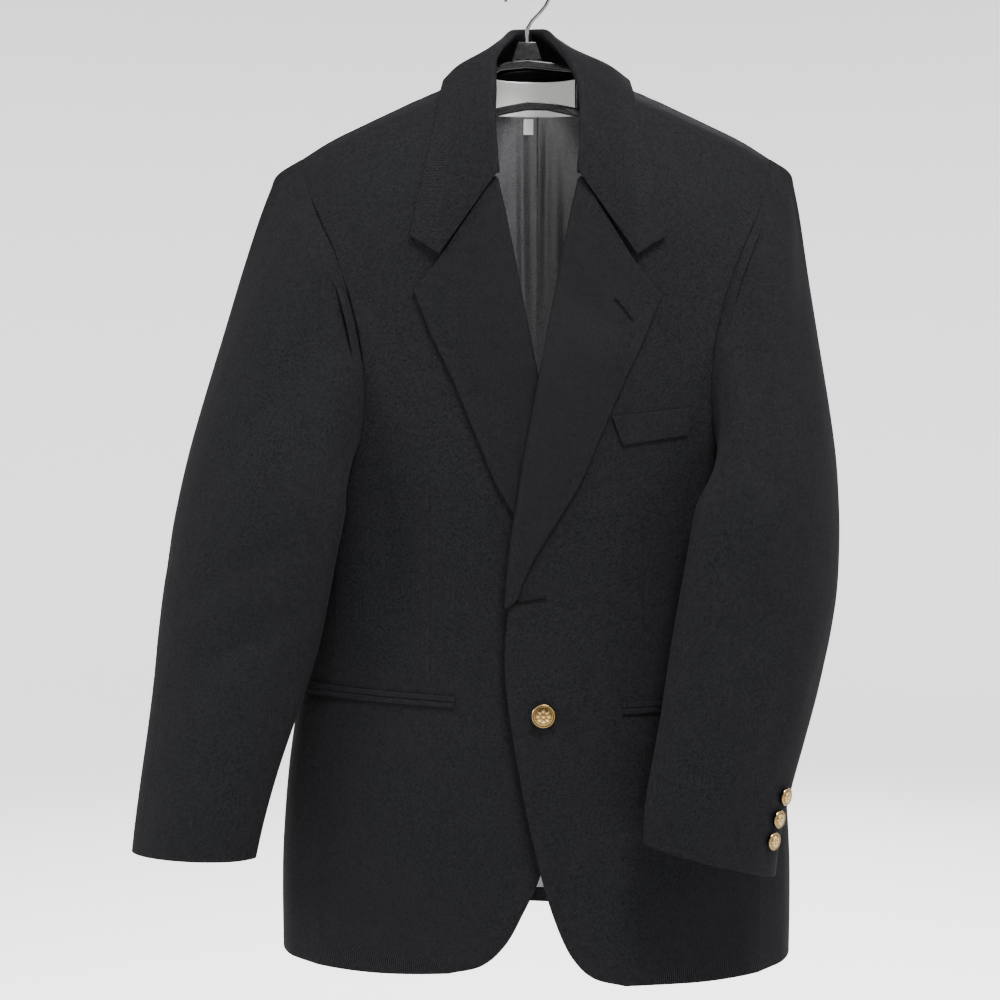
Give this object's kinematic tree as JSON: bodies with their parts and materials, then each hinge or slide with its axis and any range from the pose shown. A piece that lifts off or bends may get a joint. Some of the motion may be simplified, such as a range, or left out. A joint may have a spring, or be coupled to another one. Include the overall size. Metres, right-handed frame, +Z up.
{
  "type": "blazer on a hanger",
  "caption": "Single-breasted blazer with notch lapels, jetted hip pockets, a breast welt and domed metal buttons, hanging open-necked on a plastic hanger with a wire hook.",
  "frame": {"origin": "inside top of the hanger's hook, where it rests on a rod", "axes": "+Z up, the fronts face -Y, +X is the wearer's left; the rod runs along Y"},
  "size_m": [0.6092, 0.2456, 0.8802],
  "materials": {
    "wool_twill": "matt navy wool twill",
    "satin_lining": "grey blue satin",
    "woven_label": "pale woven label, blank",
    "gilt_brass": "polished gilt brass",
    "black_plastic": "moulded black plastic",
    "chromed_wire": "bright chromed steel wire"
  },
  "bodies": {
    "root": {"front_left": "wool_twill", "front_right": "wool_twill", "side_left": "wool_twill", "side_right": "wool_twill", "back_left": "wool_twill", "back_right": "wool_twill", "sleeve_left_top": "wool_twill", "sleeve_left_under": "wool_twill", "sleeve_right_top": "wool_twill", "sleeve_right_under": "wool_twill", "lapel_left": "wool_twill", "lapel_right": "wool_twill", "collar": "wool_twill", "breast_welt": "wool_twill", "pocket_left_upper_jet": "wool_twill", "pocket_left_lower_jet": "wool_twill", "pocket_right_upper_jet": "wool_twill", "pocket_right_lower_jet": "wool_twill", "lining_left": "satin_lining", "lining_right": "satin_lining", "neck_label": "woven_label", "neck_tab": "woven_label", "front_button": "gilt_brass", "front_button_upper": "gilt_brass", "sleeve_button_left_1": "gilt_brass", "sleeve_button_left_2": "gilt_brass", "sleeve_button_left_3": "gilt_brass", "sleeve_button_right_1": "gilt_brass", "sleeve_button_right_2": "gilt_brass", "sleeve_button_right_3": "gilt_brass", "hanger_body": "black_plastic", "hanger_marker": "black_plastic", "hanger_hook": "chromed_wire"}
  },
  "joints": []
}
